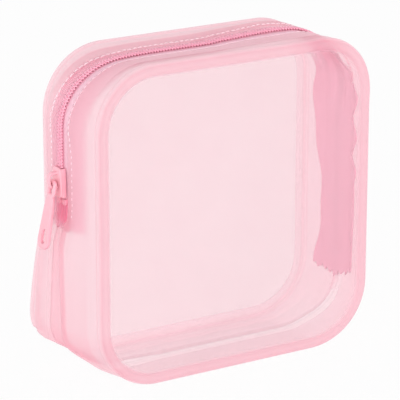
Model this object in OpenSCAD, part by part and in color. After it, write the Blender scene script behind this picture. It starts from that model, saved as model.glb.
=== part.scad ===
// Zipped stand-up pouch in soft silicone: two moulded trays meet at a seam, joined by
// a folded web along the foot and closed round the other sides by a coil zip.
// X runs across the panels, Y from the front panel to the back one, Z up from the foot.

/* [Pouch] */
// Width of each panel over its rim
panel_w = 124.6; // [110:0.2:140]
// Height of each panel over its rim
panel_h = 130; // [115:1:145]
// Corner radius of each panel over its rim
panel_r = 26; // [22:0.5:30]
// Depth from the seam to the outside of the front panel
front_depth = 25.6; // [22:0.2:34]
// Depth from the seam to the outside of the back panel
back_depth = 19.6; // [18.6:0.2:28]
// Thickness of the panels
panel_t = 1.5; // [1:0.1:1.8]
// Thickness of the side walls
wall_t = 2.2; // [1.8:0.1:2.8]

/* [Rim] */
// Width of the thick rim round each panel
rim_w = 4.6; // [3.8:0.1:6]
// Thickness of the rim from front to back
rim_t = 3.2; // [3:0.1:3.8]
// How far the rim stands proud of its panel
rim_step = 0.9; // [0.4:0.1:1.2]
// Bevel on the rim's outer edges
rim_bevel = 0.7; // [0.4:0.1:1.2]

/* [Seam] */
// How far the side walls swell past the panels at the seam
side_swell = 3.2; // [1:0.2:5]
// How far the top wall sags below the panels at the seam
top_sag = 1.6; // [0:0.2:3]
// Corner radius of the walls at the seam
seam_r = 26; // [22:0.5:30]
// How far the left wall slumps outwards above the foot, beside the seam
slump = 4.4; // [1:0.1:6]
// How far it slumps beside the front panel
front_slump = 1.5; // [0.5:0.1:4]
// How far it slumps beside the back panel
back_slump = 6; // [1:0.1:6.5]
// How far the back panel's rim slumps with it
rim_slump = 6.4; // [1:0.1:7]
// Height of the slumped corner
slump_z = 20; // [16:0.5:24]
// Radius of the slumped corner
slump_r = 6; // [5:0.5:9]
// Half the width of the groove below the zip
groove_half = 2.8; // [2.4:0.1:2.9]
// Thickness of the web folded into the groove
web_t = 0.9; // [0.6:0.1:1.2]
// Height of the web's straight legs before its round fold
web_leg = 1.2; // [0.8:0.1:1.6]
// Half the width of the slot that the zip shows through
slot_half = 6; // [5.6:0.1:7]
// Height of the slot's lower end on the left
slot_left_z = 61; // [52:1:66]
// Height of the slot's lower end on the right
slot_right_z = 27.5; // [27.5:0.5:45]

/* [Zip] */
// Width of each tape from the middle of the chain
tape_w = 12.5; // [11:0.1:13]
// Thickness of the tapes
tape_t = 0.6; // [0.4:0.1:0.8]
// Half the gap between the two tapes
tape_gap = 0.4; // [0.2:0.1:0.6]
// Width of each coil from the middle of the chain
coil_w = 2.75; // [2.4:0.05:2.9]
// Height of the coils over the tapes
coil_h = 2; // [1.8:0.1:2.2]
// How far each coil's heads reach past the middle
coil_mesh = 0.4; // [0.2:0.05:0.5]
// Distance from one coil turn to the next
coil_pitch = 1.6; // [1.5:0.05:2]
// Thickness of the coil's wire
coil_wire = 0.64; // [0.5:0.02:0.68]
// Radius of the cord inside each coil
cord_r = 0.3; // [0.15:0.05:0.3]
// Distance from the chain's middle to each row of stitches
stitch_row = 7; // [6.8:0.1:8]
// Distance from one stitch to the next
stitch_pitch = 2.6; // [2.3:0.1:3.5]
// Length of a stitch
stitch_l = 1.9; // [1.4:0.1:2.1]
// Radius of the sewing thread
thread_r = 0.3; // [0.2:0.05:0.4]

/* [Slider] */
// Height of the slider's middle when the zip is shut
slider_z = 81.5; // [78:0.5:84]
// Length of the slider
slider_l = 12; // [10:0.5:13]
// Half the slider's width at its nose
nose_half = 4.9; // [4.7:0.1:5.2]
// Half the slider's width at its tail
tail_half = 4.1; // [4:0.1:4.6]
// Thickness of the slider's two plates
plate_t = 1.1; // [0.8:0.1:1.3]
// Inner radius of the bridge that holds the pull
bridge_r = 1.3; // [1.2:0.1:1.6]
// Thickness of the bridge
bridge_t = 1.2; // [0.8:0.1:1.5]
// Width of the bridge
bridge_w = 2.2; // [1.6:0.1:2.6]
// How far above the slider's middle the bridge stands
bridge_up = 0.2; // [0:0.1:2.6]

/* [Pull] */
// Length of the pull from its pivot
pull_l = 27; // [22:0.5:30]
// Width of the pull at its round end
pull_w = 8; // [7:0.1:9]
// Thickness of the pull
pull_t = 1.6; // [1.2:0.1:1.8]
// Width of the finger hole in the pull
pull_hole_w = 3.4; // [2.4:0.1:3.8]
// Length of the finger hole in the pull
pull_hole_l = 5.6; // [4.5:0.1:7]
// Angle at which the pull leans out from the wall
pull_lean = 11; // [4:1:20]

/* [Hidden] */
$fn = 72;

// Small gap between soft pieces that lie on each other
lie = 0.1;
// Gap round the chain inside the slider
run = 0.3;
// Gap between pieces that follow each other along the zip
step_gap = 0.7;
// Overlap where one solid runs into another of the same piece
bite = 0.4;
// Facets in a quarter turn of the walls, in each bend of the slumped corner, and across the web's fold
arc_steps = 18;
corner_steps = 8;
fold_steps = 12;

// Seam outline: half width, top, and the height and place where its corners start
seam_half = panel_w / 2 + side_swell;
seam_top = panel_h - top_sag;
arc_z = seam_top - seam_r;
arc_x = seam_half - seam_r;
seam_y = (front_depth - back_depth) / 2;
// Flat stretch of wall beside the seam that the tape is sewn to
land = tape_w + 0.5;
// The walls start on the rim's back, this far from its outer edge, and below the seam's top
wall_in = max(rim_bevel + 1.9, top_sag + 1);
// The hollow ends at the panel, this far from the rim's outer edge
hollow_in = rim_w + 1;

// The left wall leans out below the zip, down to a round corner, and comes back to the lower arc
lean_top = [-seam_half, slot_left_z + slot_half];
corner_at = [-seam_half - slump + slump_r, slump_z];
arc_at = [-arc_x, seam_r];
lean_turn = tangent_turn(lean_top - corner_at, slump_r);
foot_turn = 360 + tangent_turn(corner_at - arc_at, seam_r - slump_r);
// Angle from +X of the outward normal of a tangent, by the way to its other end and the radius gained
function tangent_turn(way, r) = atan2(way[1], way[0]) + acos(r / norm(way));
// Slump of the left wall at a depth, on a line through its values at the groove and at the land's end
function slump_at(y, far) = slump + (far - slump) * (-groove_half - y) / (land - groove_half);

// Heights off the wall's outer face, counted outwards, of the zip's layers
tape_face = -wall_t - lie;
tape_back = tape_face - tape_t;
coil_base = tape_face + lie / 5;
coil_top = coil_base + coil_h;

// Ends of the zip's pieces
tape_left_z = slot_left_z + 2;
tape_right_z = slot_right_z + 0.5;
nose_z = slider_z - slider_l / 2;
tail_z = slider_z + slider_l / 2;
wedge_l = 3.4;
wedge_half = 1;
wedge_top_z = nose_z + wedge_l;
stop_l = 2.5;
stop_z = nose_z - step_gap - stop_l;
box_z = slot_right_z + slot_half;
box_l = 3;
coil_left_z = wedge_top_z + step_gap;
coil_right_z = box_z + box_l + step_gap;
// Half width of the cut that lets the tapes part round the slider's wedge
part_half = wedge_half + 0.4;

// A quarter turn about Y of a profile drawn as (radius, y), from one corner to the next
module quarter(x, z, turn) {
    translate([x, 0, z])
        rotate([-90, 0, 0])
            rotate([0, 0, turn])
                rotate_extrude(angle = 90)
                    children();
}

// A profile drawn as (outwards, y), carried along the zip: up the left, over the top, down the right
module carry_zip(left_z, right_z) {
    translate([-seam_half, 0, left_z])
        linear_extrude(arc_z - left_z)
            mirror([1, 0])
                children();
    quarter(-arc_x, arc_z, 180)
        translate([seam_r, 0])
            children();
    translate([-arc_x, 0, seam_top])
        rotate([0, 90, 0])
            linear_extrude(2 * arc_x)
                mirror([1, 0])
                    children();
    quarter(arc_x, arc_z, 270)
        translate([seam_r, 0])
            children();
    translate([seam_half, 0, right_z])
        linear_extrude(arc_z - right_z)
            children();
}

// Place at a run of s along the zip from height left_z, on a line set off by off
// outwards from the seam outline: local x points outwards and z along the zip
module along_zip(s, left_z, off) {
    leg = arc_z - left_z;
    bend = (seam_r + off) * PI / 2;
    bar = 2 * arc_x;
    a = s < leg ? 0
        : s < leg + bend ? 90 * (s - leg) / bend
        : s < leg + bend + bar ? 90
        : s < leg + 2 * bend + bar ? 90 + 90 * (s - leg - bend - bar) / bend
        : 180;
    centre = a < 90 ? [-arc_x, min(left_z + s, arc_z)]
        : a == 90 ? [s - leg - bend - arc_x, arc_z]
        : [arc_x, arc_z - max(0, s - leg - 2 * bend - bar)];
    translate([centre[0], 0, centre[1]])
        rotate([0, a, 0])
            translate([-seam_r, 0, 0])
                mirror([1, 0, 0])
                    children();
}

// Length of the zip's path between two heights, set off by off from the seam outline
function zip_length(left_z, right_z, off) =
    2 * arc_z - left_z - right_z + 2 * arc_x + PI * (seam_r + off);

// The slot that the zip shows through, with round lower ends
module zip_slot() {
    reach = seam_half + side_swell;
    for (end = [[-1, slot_left_z], [1, slot_right_z]])
        translate([end[0] * reach / 2, 0, end[1] + slot_half]) {
            rotate([0, 90, 0])
                cylinder(h = reach + 1, r = slot_half, center = true);
            translate([-reach / 2 - 0.5, -slot_half, 0])
                cube([reach + 1, 2 * slot_half, panel_h]);
        }
}

// Points on an arc, both ends included
function arc_points(centre, r, turn0, turn1, steps) =
    [for (i = [0 : steps])
        let (a = turn0 + (turn1 - turn0) * i / steps)
        centre + r * [cos(a), sin(a)]];

// Loop of a panel's plan, with as many points as the seam's loop and in step with it; where out is
// more than 0 its left edge slumps like the wall
function panel_loop(inset, out) =
    let (x = panel_w / 2 - panel_r, r = panel_r - inset, z = panel_h - panel_r, left = [-x, panel_r],
         corner = [-panel_w / 2 - out + slump_r, slump_z])
    concat(arc_points([x, panel_r], r, 270, 360, arc_steps),
           arc_points([x, z], r, 0, 90, arc_steps),
           arc_points([-x, z], r, 90, 180, arc_steps),
           [[-x - r, lean_top[1]]],
           out > 0 ? arc_points(corner, max(slump_r - inset, 0.3), lean_turn, foot_turn, corner_steps)
                   : arc_points(left, r, 180, foot_turn - 1, corner_steps),
           arc_points(left, r, foot_turn, 270, corner_steps));

// Loop of the seam's plan with the left wall slumped out
function seam_loop(inset, out) =
    let (r = seam_r - inset, corner = [corner_at[0] + slump - out, slump_z])
    concat(arc_points([arc_x, seam_r], r, 270, 360, arc_steps),
           arc_points([arc_x, arc_z], r, 0, 90, arc_steps),
           arc_points([-arc_x, arc_z], r, 90, 180, arc_steps),
           [lean_top + [inset, 0]],
           arc_points(corner, slump_r - inset, lean_turn, foot_turn, corner_steps),
           arc_points(arc_at, r, foot_turn, 270, corner_steps));

// Solid lofted through loops of equal length, which turn clockwise when seen from the last one;
// each end is closed by the faces in cap, given as places in a loop
module loft(loops, cap) {
    n = len(loops[0]);
    last = len(loops) - 1;
    points = [for (loop = loops, p = loop) p];
    sides = [for (k = [0 : last - 1], i = [0 : n - 1])
        let (j = (i + 1) % n, low = k * n, high = low + n)
        each [[low + i, low + j, high + j], [low + i, high + j, high + i]]];
    first = [for (face = cap) [for (i = [len(face) - 1 : -1 : 0]) face[i]]];
    final = [for (face = cap) [for (i = face) last * n + i]];
    polyhedron(points, concat(first, sides, final));
}

// A plan's loop set up at a depth
function at_depth(y, loop) = [for (p = loop) [p[0], y, p[1]]];

// Walls from a panel's plan at depth y0 to the seam's plan at depth y1, each with an inset
module walls(y0, inset0, y1, inset1, far, out) {
    start = panel_loop(inset0, out);
    loft([at_depth(y0, start),
          at_depth(-land, seam_loop(inset1, far)),
          at_depth(y1, seam_loop(inset1, slump_at(y1, far)))],
         [[for (i = [0 : len(start) - 1]) i]]);
}

// A plate of a panel's plan, lofted through pairs of depth and inset
module plate(section, out) {
    loops = [for (q = section) at_depth(q[0], panel_loop(q[1], out))];
    loft(loops, [[for (i = [0 : len(loops[0]) - 1]) i]]);
}

// One moulded tray, open at the seam plane y = 0, with its panel at y = -depth: walls on a bevelled
// plate, sunk in front to leave the rim proud and hollowed behind to leave the panel
module tray(depth, far, out) {
    face = -depth + rim_step;
    back = -depth + rim_t;
    difference() {
        union() {
            plate([[-depth, rim_bevel], [-depth + rim_bevel, 0],
                   [back - rim_bevel, 0], [back, rim_bevel]], out);
            walls(back - bite, wall_in, -groove_half, 0, far, out);
        }
        plate([[-depth - bite, rim_w - rim_step - bite], [face, rim_w]], out);
        walls(face + panel_t, hollow_in, bite, wall_t, far, out);
        zip_slot();
    }
}

module front_shell() {
    color("#f7ccd5")
        translate([0, seam_y, 0])
            tray(front_depth, front_slump, 0);
}

module back_shell() {
    color("#f5c6d0")
        translate([0, seam_y, 0])
            mirror([0, 1, 0])
                tray(back_depth, back_slump, rim_slump);
}

// Section of the folded web as (outwards, y): two legs and a round fold
function web_loop() =
    let (fold = [-web_leg, 0], inner = groove_half - web_t)
    concat([[0, -groove_half]], arc_points(fold, groove_half, 270, 90, fold_steps),
           [[0, groove_half], [0, inner]], arc_points(fold, inner, 90, 270, fold_steps),
           [[0, -inner]]);

// Web that joins the trays below the zip, folded inwards into a round groove: its section is lofted
// down the leaning left wall, round the corners and up the right wall
module hinge_web() {
    lean = [cos(lean_turn), sin(lean_turn)];
    lean_low = corner_at + slump_r * lean;
    lean_l = (slot_left_z - step_gap - lean_low[1]) / -lean[0];
    bends = [[corner_at, slump_r, lean_turn, foot_turn, corner_steps],
             [arc_at, seam_r, foot_turn, 270, corner_steps],
             [[arc_x, seam_r], seam_r, 270, 360, arc_steps]];
    stations = concat(
        [[lean_low + lean_l * [lean[1], -lean[0]], lean_turn]],
        [for (b = bends, i = [0 : b[4]])
            let (a = b[2] + (b[3] - b[2]) * i / b[4])
            [b[0] + b[1] * [cos(a), sin(a)], a]],
        [[[seam_half, slot_right_z - step_gap], 360]]);
    section = web_loop();
    n = len(section);
    color("#eeaebf")
        translate([0, seam_y, 0])
            loft([for (s = stations)
                     [for (q = section)
                         [s[0][0] + q[0] * cos(s[1]), q[1], s[0][1] + q[0] * sin(s[1])]]],
                 [for (i = [0 : n / 2 - 2]) [i, i + 1, n - 2 - i, n - 1 - i]]);
}

// One woven tape on the +y side of the chain, cut back where the slider parts the tapes
module tape() {
    difference() {
        carry_zip(tape_left_z, tape_right_z)
            translate([tape_back, tape_gap])
                square([tape_t, tape_w - tape_gap]);
        translate([-seam_half, -part_half, tape_left_z - 1])
            cube([seam_half / 2, 2 * part_half, wedge_top_z + step_gap / 2 - tape_left_z + 1]);
    }
}

module front_tape() {
    color("#f6a4ba")
        translate([0, seam_y, 0])
            mirror([0, 1, 0])
                tape();
}

module back_tape() {
    color("#f6a4ba")
        translate([0, seam_y, 0])
            tape();
}

// One turn of coil as (outwards, y): a flat link of wire with round ends
module coil_turn() {
    middle = coil_base + coil_h / 2;
    difference() {
        coil_pill(coil_h / 2, middle);
        coil_pill(coil_h / 2 - coil_wire, middle);
    }
}

// Rounded bar of radius r between the centres of a turn's two round ends
module coil_pill(r, middle) {
    head = coil_h / 2 - coil_mesh;
    heel = coil_w - coil_h / 2;
    for (y = [head, heel])
        translate([middle, y])
            circle(r);
    translate([middle - r, head])
        square([2 * r, heel - head]);
}

// Coil on the +y side of the chain; lag shifts its turns so that the two sides mesh
module coil(lag) {
    off = coil_base + coil_h / 2;
    count = floor(zip_length(coil_left_z, coil_right_z, off) / coil_pitch - 1);
    for (i = [0 : count - 1])
        along_zip((i + lag) * coil_pitch, coil_left_z, off)
            translate([0, 0, -coil_wire / 2])
                linear_extrude(coil_wire)
                    coil_turn();
}

module front_coil() {
    color("#ef8fa9")
        translate([0, seam_y, 0])
            mirror([0, 1, 0])
                coil(0.75);
}

module back_coil() {
    color("#ef8fa9")
        translate([0, seam_y, 0])
            coil(0.25);
}

// Cord that fills the coil on the +y side
module coil_cord() {
    carry_zip(coil_left_z, coil_right_z)
        translate([coil_base + coil_h / 2, coil_w / 2])
            circle(cord_r);
}

module front_coil_cord() {
    color("#f2a9bc")
        translate([0, seam_y, 0])
            mirror([0, 1, 0])
                coil_cord();
}

module back_coil_cord() {
    color("#f2a9bc")
        translate([0, seam_y, 0])
            coil_cord();
}

// Row of stitches that holds the +y tape to its tray
module seam_thread() {
    left_z = slot_left_z + slot_half;
    right_z = slot_right_z + slot_half;
    off = thread_r + lie / 5;
    count = floor(zip_length(left_z, right_z, off) / stitch_pitch);
    for (i = [0 : count - 1])
        along_zip((i + 0.5) * stitch_pitch, left_z, off)
            translate([off, stitch_row, 0])
                cylinder(h = stitch_l, r = thread_r, center = true);
}

module front_seam_thread() {
    color("#fbe6ea")
        translate([0, seam_y, 0])
            mirror([0, 1, 0])
                seam_thread();
}

module back_seam_thread() {
    color("#fbe6ea")
        translate([0, seam_y, 0])
            seam_thread();
}

// Clip crimped on the edge of the +y tape below the slider, on the left
module top_stop() {
    grip = 0.8;
    inner = part_half - grip;
    translate([-seam_half, 0, stop_z])
        mirror([1, 0, 0])
            difference() {
                translate([tape_back - grip, inner, 0])
                    cube([tape_t + coil_h + grip / 2, coil_w, stop_l]);
                translate([tape_back - lie / 2, part_half - lie / 2, -1])
                    cube([tape_t + lie, coil_w + 1, stop_l + 2]);
            }
}

module front_top_stop() {
    color("#ee9bb0")
        translate([0, seam_y, 0])
            mirror([0, 1, 0])
                top_stop();
}

module back_top_stop() {
    color("#ee9bb0")
        translate([0, seam_y, 0])
            top_stop();
}

// Box crimped over both tapes where the zip ends on the right
module bottom_stop() {
    grip = 0.8;
    half = coil_w + 0.3;
    color("#ee9bb0")
        translate([seam_half, seam_y, box_z])
            difference() {
                translate([tape_back - grip, -half, 0])
                    cube([tape_t + coil_h + grip, 2 * half, box_l]);
                for (side = [0, 1])
                    mirror([0, side, 0])
                        translate([tape_back - lie / 2, tape_gap - lie / 2, -1])
                            cube([tape_t + lie, half, box_l + 2]);
            }
}

// Local frame of the slider on the left wall: x outwards, z along the zip
module at_slider() {
    translate([-seam_half, seam_y, slider_z])
        mirror([1, 0, 0])
            children();
}

// A plan drawn as (y, z), raised from one height off the wall to another
module raise(x0, x1) {
    translate([x0, 0, 0])
        rotate([90, 0, 90])
            linear_extrude(x1 - x0)
                children();
}

// Plan of the slider: wide at the nose below, narrow at the tail above
module slider_plan() {
    r = 1.6;
    hull()
        for (side = [-1, 1]) {
            translate([side * (nose_half - r), -slider_l / 2 + r])
                circle(r, $fn = 32);
            translate([side * (tail_half - r), slider_l / 2 - r])
                circle(r, $fn = 32);
        }
}

// Plan of the channel that the chain runs in, open at both ends
module channel_plan() {
    tail = coil_w + run;
    nose = nose_half - (tail_half - tail);
    far = slider_l;
    polygon([[-nose, -far], [nose, -far], [nose, -slider_l / 2], [tail, slider_l / 2],
             [tail, far], [-tail, far], [-tail, slider_l / 2], [-nose, -slider_l / 2]]);
}

// Heights off the wall of the slider's plates and of the bridge's axis
plate_top = coil_top + run;
plate_low = tape_back - run;
lip_low = tape_face + 0.4;
pivot_x = plate_top + plate_t + bridge_r + 0.2;

// Slider cast in one piece: two plates, lips, the wedge between them and the bridge
module slider_body() {
    outer = bridge_r + bridge_t;
    color("#e98aa4")
        at_slider() {
            raise(plate_top, plate_top + plate_t)
                slider_plan();
            raise(plate_low - plate_t, plate_low)
                slider_plan();
            raise(lip_low, plate_top)
                difference() {
                    slider_plan();
                    channel_plan();
                }
            raise(plate_low, plate_top)
                translate([0, -slider_l / 2])
                    polygon([[-wedge_half, 0.5], [wedge_half, 0.5],
                             [wedge_half / 2, wedge_l], [-wedge_half / 2, wedge_l]]);
            translate([pivot_x, 0, bridge_up])
                rotate([-90, 0, 0])
                    rotate([0, 0, -90])
                        rotate_extrude(angle = 180)
                            translate([bridge_r, -bridge_w / 2])
                                square([bridge_t, bridge_w]);
            for (z = [-outer, bridge_r])
                translate([plate_top + plate_t, -bridge_w / 2, bridge_up + z])
                    cube([pivot_x - plate_top - plate_t, bridge_w, bridge_t]);
        }
}

// Pull: a bar under the bridge, two arms round it and a flat tab with a finger hole
module pull_tab() {
    bar_r = bridge_r - 0.35;
    eye_l = bridge_r + bridge_t + 0.4;
    eye_half = bridge_w / 2 + 0.4;
    arm = 1.1;
    root_half = eye_half + arm;
    end_r = pull_w / 2;
    end_z = -pull_l + end_r;
    hole_r = pull_hole_w / 2;
    hole_low = -pull_l + 2.4 + hole_r;
    color("#eb93ab")
        at_slider()
            translate([pivot_x, 0, bridge_up])
                rotate([0, -pull_lean, 0]) {
                    rotate([90, 0, 0])
                        cylinder(h = 2 * root_half, r = bar_r, center = true);
                    for (side = [-1, 1])
                        translate([-pull_t / 2, side * (eye_half + arm / 2) - arm / 2, -eye_l - bite])
                            cube([pull_t, arm, eye_l + bite]);
                    difference() {
                        raise(-pull_t / 2, pull_t / 2)
                            hull() {
                                translate([-root_half, -eye_l - 1])
                                    square([2 * root_half, 1]);
                                translate([0, end_z])
                                    circle(end_r);
                            }
                        for (z = [hole_low, hole_low + pull_hole_l - pull_hole_w])
                            translate([0, 0, z])
                                rotate([0, 90, 0])
                                    cylinder(h = 2 * pull_t, r = hole_r, center = true);
                        translate([-pull_t, -hole_r, hole_low])
                            cube([2 * pull_t, pull_hole_w, pull_hole_l - pull_hole_w]);
                    }
                }
}

front_shell();
back_shell();
hinge_web();
front_tape();
back_tape();
front_coil();
back_coil();
front_coil_cord();
back_coil_cord();
front_seam_thread();
back_seam_thread();
front_top_stop();
back_top_stop();
bottom_stop();
slider_body();
pull_tab();
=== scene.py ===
import bpy
import numpy as np
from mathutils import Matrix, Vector


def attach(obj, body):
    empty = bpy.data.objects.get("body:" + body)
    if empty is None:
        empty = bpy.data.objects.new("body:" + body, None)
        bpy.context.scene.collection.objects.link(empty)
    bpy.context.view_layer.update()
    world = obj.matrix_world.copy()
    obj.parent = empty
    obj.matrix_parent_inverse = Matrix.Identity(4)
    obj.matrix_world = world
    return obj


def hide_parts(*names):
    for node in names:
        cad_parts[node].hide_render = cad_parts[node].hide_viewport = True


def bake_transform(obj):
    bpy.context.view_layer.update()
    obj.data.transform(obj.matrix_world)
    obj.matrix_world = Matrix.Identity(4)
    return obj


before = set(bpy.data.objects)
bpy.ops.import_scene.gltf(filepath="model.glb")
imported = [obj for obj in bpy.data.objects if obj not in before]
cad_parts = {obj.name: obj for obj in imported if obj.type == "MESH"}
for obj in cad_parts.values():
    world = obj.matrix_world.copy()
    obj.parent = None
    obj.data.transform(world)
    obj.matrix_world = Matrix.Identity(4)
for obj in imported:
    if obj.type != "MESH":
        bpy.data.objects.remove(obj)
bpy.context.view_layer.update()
scene = bpy.context.scene
scene.view_settings.view_transform = "Standard"
print("frame loaded:", len(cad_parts), "nodes")

# Lengths are in millimetres until a mesh is written, where they become metres.

pouch = {
    "halfWide": 62.3,  # half of a panel's width over its rim
    "high": 130.0,  # a panel's height over its rim
    "corner": 26.0,  # corner radius of panels and walls
    "seamAt": 3.0,  # where the seam lies from front to back
    "frontDeep": 25.6,  # seam to the outside of the front panel
    "backDeep": 19.6,  # seam to the outside of the back panel
    "swell": 3.2,  # how far the side walls swell past the panels at the seam
    "sag": 1.6,  # how far the top wall lies under the panels at the seam
    "flat": 8.0,  # the walls keep their full swell this far from the seam
    "rim": 2.5,  # depth of the rims, which don't swell
    "coilIn": 1.3,  # how far inside the wall's face the coils run
}

settleBy = {
    # places along the top, and how far the zip's front and back row lift there
    "topAt": [-66, -52, -44, -38, -31, -24, 2, 8, 12, 18, 24, 30, 34, 40, 50, 66],
    "frontRow": [-1.2, -1.3, -0.8, -0.3, 0, 0, 0, 0.5, 0.6, 0.8, 0.9, 0.9, 1.0, 1.0, 0.7, 0],
    "backRow": [-1.6, -1.6, -1.5, -0.9, -0.3, 0, 0, 0.5, 0.8, 1.3, 1.7, 2.1, 2.1, 1.5, 0.8, 0],
    "rows": 7.0,  # how far from the seam those two rows are
    "slumpAt": [-22.6, -19, -10, 0, 6, 12, 16, 22.6],  # from the front panel to the back one
    "slump": [0, 0.2, 1.5, 4.2, 5.2, 7.0, 7.9, 8.0],  # how far the left wall slumps out near the foot
    "leanTop": 68.0,  # where the left wall starts to lean out
    "leanFoot": 20.0,  # where it leans out most
    "creaseAt": [10, 28, 40, 55, 64, 75],  # heights on the left
    "crease": [-1.5, -1.5, 0, 2.0, 1.2, 0],  # how far back the crease wanders there
    "rightDrift": -4.0,  # how far back the zip wanders on the right
    "frontRight": 1.4,  # how far the front rim stands out on the right
    "frontCorner": 0.9,  # how much fuller its upper right corner is
    "backTop": 0.3,  # how far the back rim stands up
}

# where each of these moves starts, and over how far it grows to its full size
settleOver = {
    "top": (92, 22),  # upwards
    "left": (38, 14),  # to the left
    "crease": (50, 12),  # to the left
    "behind": (0.5, 6),  # back from the seam
    "right": (48, 14),  # to the right
    "frontRim": (14, 8),  # forwards from the seam
    "frontRight": (20, 36),  # to the right
    "cornerAcross": (30, 22),  # to the right
    "cornerUp": (98, 22),  # upwards
    "backRim": (12, 6),  # back from the seam
    "backUp": (100, 22),  # upwards
}


def ease(t):  # 3t^2 - 2t^3, held at 0 and 1 outside
    t = np.clip(t, 0, 1)
    return t * t * (3 - 2 * t)


def ramp(value, span):  # eased from 0 at the span's start to 1 after its length
    return ease((value - span[0]) / span[1])


def swellShare(y):  # 1 beside the seam, falling smoothly to 0 at the rim of either tray
    deep = np.where(y < 0, pouch["frontDeep"], pouch["backDeep"])
    return ease((deep - pouch["rim"] - np.abs(y)) / (deep - pouch["rim"] - pouch["flat"]))


# The soft body settles: the zip's two rows rise and sink along the top by curves read along x. The
# left wall leans out from below the slider to the foot, by a product of shares of height, depth and
# width. The crease and the zip's right leg wander to the front or back, and the rims swell a little.
def settle(p):
    x, y, z = p[..., 0], p[..., 1], p[..., 2]
    off = y - pouch["seamAt"]
    beside = swellShare(off)
    row = np.clip(0.5 + off / (2 * settleBy["rows"]), 0, 1)
    front = np.interp(x, settleBy["topAt"], settleBy["frontRow"])
    back = np.interp(x, settleBy["topAt"], settleBy["backRow"])
    over = settleOver
    dz = ramp(z, over["top"]) * beside * (front + row * (back - front))
    t = np.clip((settleBy["leanTop"] - z) / (settleBy["leanTop"] - settleBy["leanFoot"]), 0, 1.2)
    behind = ramp(off, over["behind"])
    # the lean grows fast at first, then slower, and ends just above the foot
    lean = t * (1.5 - 0.5 * t) * ease(t / 0.25) * ease((z - 6 - 3 * behind) / (10.5 - 2 * behind))
    left = ramp(-x, over["left"])
    dx = -np.interp(y, settleBy["slumpAt"], settleBy["slump"]) * lean * left
    wander = np.interp(z, settleBy["creaseAt"], settleBy["crease"])
    dy = wander * left * beside * ramp(-x, over["crease"])
    dy = dy + settleBy["rightDrift"] * beside * ramp(x, over["right"])
    rim = ramp(-off, over["frontRim"])
    corner = settleBy["frontCorner"] * rim * ramp(x, over["cornerAcross"]) * ramp(z, over["cornerUp"])
    dx = dx + settleBy["frontRight"] * rim * ramp(x, over["frontRight"]) + corner
    dz = dz + corner + settleBy["backTop"] * ramp(off, over["backRim"]) * ramp(z, over["backUp"])
    return np.stack([x + dx, y + dy, z + dz], -1)


# A station is a place round the outline: shares of the half width and the height, and the outward
# normal. A wall point is the corner skeleton plus (radius + n) along that normal.
def onWall(station, y, n):
    b = swellShare(y)
    r = pouch["corner"]
    sx, tz, nx, nz = (station[..., k] for k in range(4))
    x = sx * (pouch["halfWide"] - r + pouch["swell"] * b) + (r + n) * nx
    z = r + tz * (pouch["high"] - 2 * r - pouch["sag"] * b) + (r + n) * nz
    x, y, z = np.broadcast_arrays(x, pouch["seamAt"] + y, z)
    return settle(np.stack([x, y, z], -1))


def stationsOf(parts):  # joins stretches of (share x, share z, normal's angle) into stations
    sx, tz, turn = (np.concatenate([np.broadcast_arrays(*part)[k] for part in parts]) for k in range(3))
    turn = np.radians(turn)
    return np.stack([sx, tz, np.cos(turn), np.sin(turn)], -1)


def ringStations(foot=18, bend=22, side=80, top=40):  # once round, from the middle of the foot
    steps = {n: np.arange(n) / n for n in (foot, bend, side, top)}
    return stationsOf([
        (steps[foot], 0.0, -90.0),
        (1.0, 0.0, -90 + 90 * steps[bend]),
        (1.0, steps[side], 0.0),
        (1.0, 1.0, 90 * steps[bend]),
        (1 - 2 * steps[top], 1.0, 90.0),
        (-1.0, 1.0, 90 + 90 * steps[bend]),
        (-1.0, 1 - steps[side], 180.0),
        (-1.0, 0.0, 180 + 90 * steps[bend]),
        (-1 + steps[foot], 0.0, 270.0),
    ])


zipRun = {
    "leg": pouch["high"] - 2 * pouch["corner"] - pouch["sag"],  # straight stretch of each side
    "bend": (pouch["corner"] - pouch["coilIn"]) * np.pi / 2,  # a corner's length at the coils
    "bar": 2 * (pouch["halfWide"] + pouch["swell"] - pouch["corner"]),  # straight stretch of the top
}


# Stations along the zip by length: up the left leg from its corner, round, across the top, round
# and down the right leg, and on round the lower right corner.
def zipStations(s):
    leg, bend, bar = zipRun["leg"], zipRun["bend"], zipRun["bar"]
    knots = np.cumsum([0, leg, bend, bar, bend, leg, bend])
    sx = np.interp(s, knots, [-1, -1, -1, 1, 1, 1, 1])
    tz = np.interp(s, knots, [0, 1, 1, 1, 1, 0, 0])
    turn = np.interp(s, knots, [180, 180, 90, 90, 0, 0, -90])
    return stationsOf([(sx, tz, turn)])


def leftRun(z):  # length along the zip at height z on the left leg
    return z - pouch["corner"]


def rightRun(z):  # length along the zip at height z on the right leg
    return 2 * zipRun["leg"] + 2 * zipRun["bend"] + zipRun["bar"] - (z - pouch["corner"])


rightStart = 2 * zipRun["bend"] + zipRun["leg"] + zipRun["bar"]  # where the right leg starts


def downLeft(s, span):  # eased from 0 to 1 down the left leg, from the span's height over its length
    return ease((leftRun(span[0]) - s) / span[1])


def downRight(s, span):  # the same down the right leg
    return ease((s - rightRun(span[0])) / span[1])


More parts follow.
